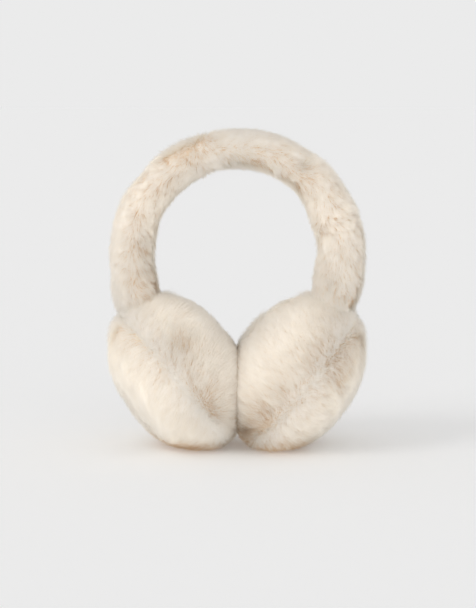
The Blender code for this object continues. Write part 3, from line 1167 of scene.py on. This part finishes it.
def sleeve_pile(side, seed):
    """The strips of the pile on one half of the sleeve, with the tone and warmth of each."""
    rng = np.random.default_rng(seed)

    def place(u):
        """The share of the length from the left pad: u or, on the left half, 1 - u."""
        return u if side > 0 else 1 - u

    def surface(u, v):
        """The sleeve's backing."""
        return sleeve_point(place(u), v)

    reach = (HALF_START, 1 - SLEEVE_START)
    u, v, roots = scatter(
        surface, reach, FULL_TURN, SLEEVE_FIBRES, rng, lambda points: sleeve_density(points, side)
    )
    normals = normals_of(surface, u, v, along_line(LINE, place(u)))
    column = (len(roots), 1)
    share, outside = u[:, None], np.cos(v)[:, None]
    crown = 1 - ease((share - 0.5) * LINE_LENGTH, 0, CROWN_REACH)
    foot = ease(share, *FOOT_REACH)
    fluff = FLUFF[side] * ease(share, *FLUFF_REACH) * ease(outside, *FLUFF_SIDE)
    head_side_shade = (1 - ease(outside, *HEAD_SIDE)) * ease(share, *ARM_REACH)

    flow = sleeve_flow(roots, normals, place(u), v, seed)
    length = SLEEVE_PILE * rng.normal(1, SLEEVE_PILE_SPREAD, column)
    length = length * (1 - CROWN_SHORTER * crown + FLUFF_LONGER * fluff)
    rise = SLEEVE_RISE + rng.normal(0, SLEEVE_RISE_STRAY, column)
    width = FIBRE_WIDTH * rng.uniform(*WIDTH_SPREAD, column)
    lie, pull, tone, gap = gather(flow, normals, roots, length, SLEEVE_TUFT, seed)

    shares = {
        "crown": crown,
        "fluff": fluff,
        "tuft_gap_shade": gap,
        "patchy_shade": waves(roots, PATCHY_SHADE_SIZE, PATCHY_SHADE_SEED)[:, 1:2],
        "head_side_shade": HEAD_SIDE_SHADE[side] * head_side_shade * (1 + foot),
        "fold_shade": fold_depth(place(u), v)[:, None] / MM,
        "foot": foot,
    }
    stray = rng.normal(0, WARMTH_STRAY, column)
    rise, tone, warmth = styled(shares, SLEEVE_PLACES, rise, tone, stray)
    strips = fibre_strips(roots, normals, lie, pull, length, rise, width, seed, lambda p: p)
    return *strips, tone, warmth


print("places on the sleeve:", ", ".join(SLEEVE_PLACES))

# %% Grow the sleeve's pile
for side, side_name in SIDES.items():
    seed += 1
    name = f"{side_name}_sleeve_pile"
    mesh = fibre_mesh(name, *sleeve_pile(side, seed), mirrored=False)
    add_piece(name, mesh, FIBRE).visible_shadow = False
    print(name, "has", len(mesh.polygons) // len(STRIP_STARTS), "fibres")

# %% [markdown]
# ## The floor and the light
#
# The studio is a pale, even grey with no horizon. Its sky is a light tent: as bright as the
# picture's ground near the horizon, and a little dimmer above. Two broad lamps add to it, the key
# on the left and a wider, weaker fill low in front. The floor is a shooting table of white
# acrylic, lit from below. It gives back a share of the light that falls on it and glows with the
# rest, so that it looks as bright as the sky. It casts no shadow itself, so the light tent's lower
# half reaches the undersides of the pads and of the arch through it, as it does through acrylic.

# %% Light the studio
GROUND = "EBEBEB"
SKY_ABOVE = 0.8
SKY_DIMS = (0.10, 0.35)
KEY_DIRECTION = (-60, 30)
FILL_DIRECTION = (10, 8)
KEY_STRENGTH = 0.62
FILL_STRENGTH = 0.45
KEY_SPREAD = 24
FILL_SPREAD = 60
FLOOR_SHARE = 0.90
FLOOR_GLOW = 0.11
FLOOR_SIZE = 60.0

world = bpy.data.worlds.new("studio")
bpy.context.scene.world = world
world.use_nodes = True
sky = world.node_tree
place = add_node(sky, "ShaderNodeTexCoord").outputs["Generated"]
height = add_node(sky, "ShaderNodeSeparateXYZ", Vector=place).outputs["Z"]
dim = add_node(
    sky,
    "ShaderNodeMapRange",
    {"interpolation_type": "SMOOTHSTEP"},
    Value=height,
    From_Min=SKY_DIMS[0],
    From_Max=SKY_DIMS[1],
    To_Min=1.0,
    To_Max=SKY_ABOVE,
)
ground = sky.nodes["Background"]
ground.inputs["Color"].default_value = linear(GROUND)
sky.links.new(dim.outputs["Result"], ground.inputs["Strength"])


def add_lamp(name, azimuth, elevation, strength, spread):
    """A sun from this many degrees right of the front and above the table, this wide."""
    turn, rise = math.radians(azimuth), math.radians(elevation)
    lamp = add_object(name, bpy.data.lights.new(name, "SUN"))
    lamp.data.energy = strength
    lamp.data.angle = math.radians(spread)
    from_there = Vector(
        (math.sin(turn) * math.cos(rise), -math.cos(turn) * math.cos(rise), math.sin(rise))
    )
    lamp.rotation_euler = from_there.to_track_quat("Z", "Y").to_euler()


add_lamp("key_light", *KEY_DIRECTION, KEY_STRENGTH, KEY_SPREAD)
add_lamp("fill_light", *FILL_DIRECTION, FILL_STRENGTH, FILL_SPREAD)

floor_material, floor_tree = new_material("opal_acrylic_table")
floor_surface = add_node(
    floor_tree,
    "ShaderNodeBsdfPrincipled",
    Base_Color=[FLOOR_SHARE, FLOOR_SHARE, FLOOR_SHARE, 1.0],
    Roughness=1.0,
    Specular_IOR_Level=0.0,
    Emission_Color=[1.0, 1.0, 1.0, 1.0],
    Emission_Strength=FLOOR_GLOW,
)
add_node(floor_tree, "ShaderNodeOutputMaterial", Surface=floor_surface.outputs[0])
corners = np.array([[-1, -1, 0], [1, -1, 0], [1, 1, 0], [-1, 1, 0]]) * FLOOR_SIZE / 2
floor_mesh = bpy.data.meshes.new("studio_floor")
floor_mesh.from_pydata(corners.tolist(), [], [[0, 1, 2, 3]])
floor_mesh.materials.append(floor_material)
floor = add_object("studio_floor", floor_mesh)
floor.visible_shadow = False
print("floor gives back", FLOOR_SHARE, "and glows with", FLOOR_GLOW)

# %% [markdown]
# ## The camera
#
# The photograph is taken from the front, a little above the middle, from far enough that the near
# side of a pad hardly looks larger. One pixel of the picture is 0.7 mm at the object's middle.

# %% Place the camera
IMAGE_HEIGHT = 608
PIXEL = 0.70 * MM
CAMERA_DISTANCE = 1.2
CAMERA_ELEVATION = math.radians(7)
LOOK_AT = Vector((0.7 * MM, 0, 100.7 * MM))
SENSOR = 36.0

camera = add_object("camera", bpy.data.cameras.new("camera"))
camera.data.sensor_width = SENSOR
camera.data.lens = SENSOR * CAMERA_DISTANCE / (IMAGE_HEIGHT * PIXEL)
back = Vector((0, -math.cos(CAMERA_ELEVATION), math.sin(CAMERA_ELEVATION)))
camera.location = LOOK_AT + back * CAMERA_DISTANCE
camera.rotation_euler = back.to_track_quat("Z", "Y").to_euler()
camera.data.clip_end = FLOOR_SIZE
bpy.context.scene.camera = camera
bpy.context.scene.view_settings.view_transform = "Standard"
print("lens, mm:", round(camera.data.lens, 1))
